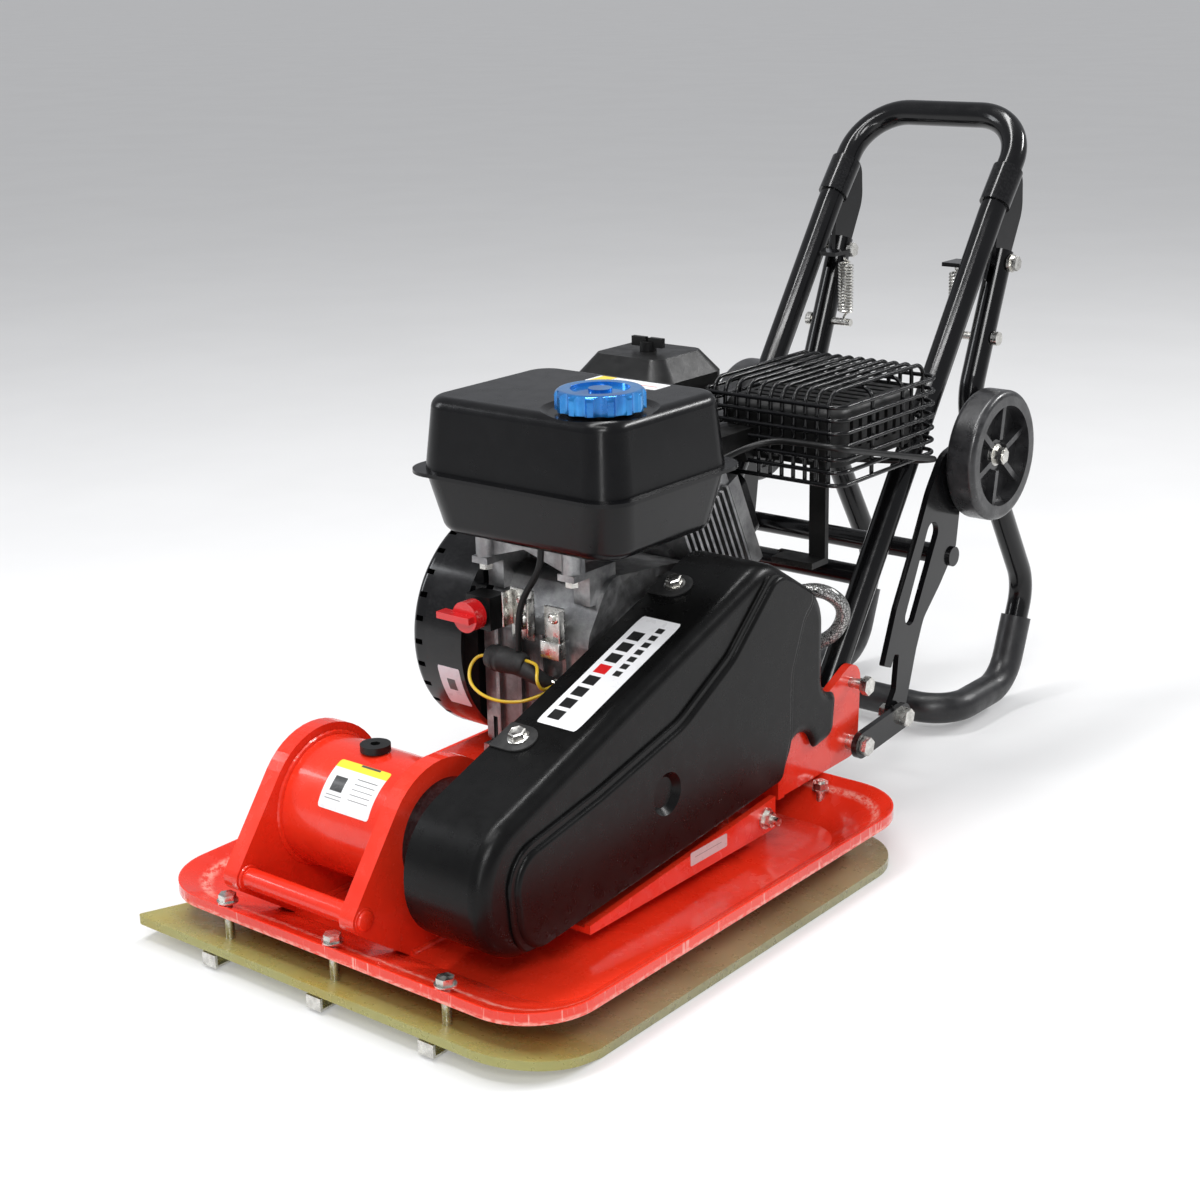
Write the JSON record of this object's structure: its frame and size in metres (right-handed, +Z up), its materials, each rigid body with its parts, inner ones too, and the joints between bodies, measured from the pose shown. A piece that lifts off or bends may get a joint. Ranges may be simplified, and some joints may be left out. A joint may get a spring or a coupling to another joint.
{
  "type": "plate compactor",
  "caption": "Petrol plate compactor with belt-driven exciter, paving mat, tubular handle, sprung rear stand and folding transport wheels.",
  "frame": {"origin": "on the ground under the middle of the base plate", "axes": "+X towards the belt cover, +Y to the rear handle, +Z up"},
  "size_m": [0.444, 0.9878, 0.641],
  "materials": {
    "red_paint": "gloss",
    "black_paint": "gloss",
    "satin_black": "satin",
    "black_plastic": "matt",
    "mat_polyurethane": "translucent",
    "zinc_steel": "satin",
    "ground_steel": "ground",
    "cast_aluminium": "cast",
    "cast_iron": "cast",
    "black_rubber": "matt",
    "tyre_rubber": "satin",
    "blue_cap": "gloss",
    "red_plastic": "gloss",
    "yellow_lead": "gloss",
    "braided_hose": "braided",
    "filter_paper": "pleated"
  },
  "bodies": {
    "chassis": {"paving_mat": "mat_polyurethane", "base_plate": "red_paint", "mat_bolts": "zinc_steel", "exciter_housing": "red_paint", "exciter_brackets": "red_paint", "lifting_bar": "red_paint", "oil_plug": "black_paint", "exciter_bearings": "ground_steel", "bearing_caps": "black_paint", "drive_belt": "black_rubber", "belt_cover": "black_plastic", "cover_bolts": "zinc_steel", "engine_deck": "red_paint", "rubber_mounts": "black_rubber", "deck_bolts": "zinc_steel", "crankcase": "cast_aluminium", "cylinder": "cast_aluminium", "rocker_cover": "satin_black", "fan_housing": "black_paint", "recoil_cover": "black_paint", "tank_upper": "satin_black", "tank_lower": "satin_black", "air_cleaner_base": "black_plastic", "filter_element": "filter_paper", "air_cleaner_lid": "black_plastic", "carburettor": "cast_aluminium", "muffler": "satin_black", "muffler_guard": "black_paint", "switch_box": "black_plastic", "ignition_boot": "black_plastic", "wiring_loom": "yellow_lead", "oil_drain_hose": "braided_hose", "throttle_cable": "black_plastic", "handle_tube": "black_paint", "handle_sleeves": "black_paint", "hinge_bolts": "zinc_steel", "stand_springs": "zinc_steel", "ear_bolts": "zinc_steel"},
    "exciter": {"eccentric_shaft": "ground_steel", "exciter_pulley": "cast_iron"},
    "drum": {"clutch_drum": "ground_steel"},
    "crank": {"crankshaft": "ground_steel", "clutch_shoes": "cast_iron", "flywheel": "cast_iron"},
    "stand": {"stand_tube": "black_paint", "stand_sleeve": "black_rubber", "spring_pins": "zinc_steel"},
    "link_pair": {"links": "black_paint", "link_pins": "zinc_steel"},
    "arm_pair": {"wheel_arms": "black_paint", "axle_bolts": "zinc_steel"},
    "right_wheel": {"wheel_right": "tyre_rubber"},
    "left_wheel": {"wheel_left": "tyre_rubber"},
    "cap": {"fuel_cap": "blue_cap"},
    "wing": {"wing_nut": "black_plastic"},
    "grip": {"starter_grip": "black_plastic"},
    "switch": {"switch_knob": "red_plastic"},
    "throttle": {"throttle_lever": "red_plastic"},
    "choke": {"choke_lever": "black_plastic"},
    "tap": {"fuel_tap_lever": "black_plastic"}
  },
  "joints": [
    {"name": "exciter_spin", "type": "hinge", "parent": "chassis", "child": "exciter", "pos_m": [0, -0.138, 0.108], "axis": [1, 0, 0], "continuous": true},
    {"name": "drum_spin", "type": "hinge", "parent": "chassis", "child": "drum", "pos_m": [0, 0.105, 0.208], "axis": [1, 0, 0], "continuous": true},
    {"name": "crank_spin", "type": "hinge", "parent": "chassis", "child": "crank", "pos_m": [0, 0.105, 0.208], "axis": [1, 0, 0], "continuous": true},
    {"name": "stand_swing", "type": "hinge", "parent": "chassis", "child": "stand", "pos_m": [0, 0.622, 0.488], "axis": [1, 0, 0], "range_deg": [0, 35], "stiffness_Nm_per_rad": 14, "springref_deg": -11.46, "deforming": ["stand_springs"]},
    {"name": "link_swing", "type": "hinge", "parent": "chassis", "child": "link_pair", "pos_m": [0, 0.316, 0.07], "axis": [1, 0, 0], "range_deg": [-12, 0]},
    {"name": "arm_swing", "type": "hinge", "parent": "link_pair", "child": "arm_pair", "pos_m": [0, 0.39, 0.077], "axis": [1, 0, 0], "range_deg": [-45, 0]},
    {"name": "right_wheel_spin", "type": "hinge", "parent": "arm_pair", "child": "right_wheel", "pos_m": [0.142, 0.532, 0.313], "axis": [1, 0, 0], "continuous": true},
    {"name": "left_wheel_spin", "type": "hinge", "parent": "arm_pair", "child": "left_wheel", "pos_m": [-0.142, 0.532, 0.313], "axis": [1, 0, 0], "continuous": true},
    {"name": "fuel_cap_turn", "type": "hinge", "parent": "chassis", "child": "cap", "pos_m": [0.05, 0.032, 0.44], "axis": [0, 0, 1], "range_deg": [0, 90]},
    {"name": "wing_nut_turn", "type": "hinge", "parent": "chassis", "child": "wing", "pos_m": [-0.086, 0.274, 0.435], "axis": [0, 0, 1], "continuous": true},
    {"name": "starter_pull", "type": "slide", "parent": "chassis", "child": "grip", "axis": [0, 1, 0], "range_m": [0, 0.05], "stiffness_N_per_m": 60, "springref_m": -0.05},
    {"name": "switch_turn", "type": "hinge", "parent": "chassis", "child": "switch", "pos_m": [-0.072, 0, 0.247], "axis": [0, 1, 0], "range_deg": [0, 60]},
    {"name": "throttle_turn", "type": "hinge", "parent": "chassis", "child": "throttle", "pos_m": [-0.1145, 0.214, 0.318], "axis": [1, 0, 0], "range_deg": [0, 40]},
    {"name": "choke_turn", "type": "hinge", "parent": "chassis", "child": "choke", "pos_m": [-0.1145, 0.238, 0.318], "axis": [1, 0, 0], "range_deg": [0, 25]},
    {"name": "fuel_tap_turn", "type": "hinge", "parent": "chassis", "child": "tap", "pos_m": [-0.1145, 0.226, 0.3], "axis": [1, 0, 0], "range_deg": [-60, 0]}
  ],
  "couplings": [
    {"joint": "drum_spin", "follows": "exciter_spin", "ratio": 0.71429}
  ]
}
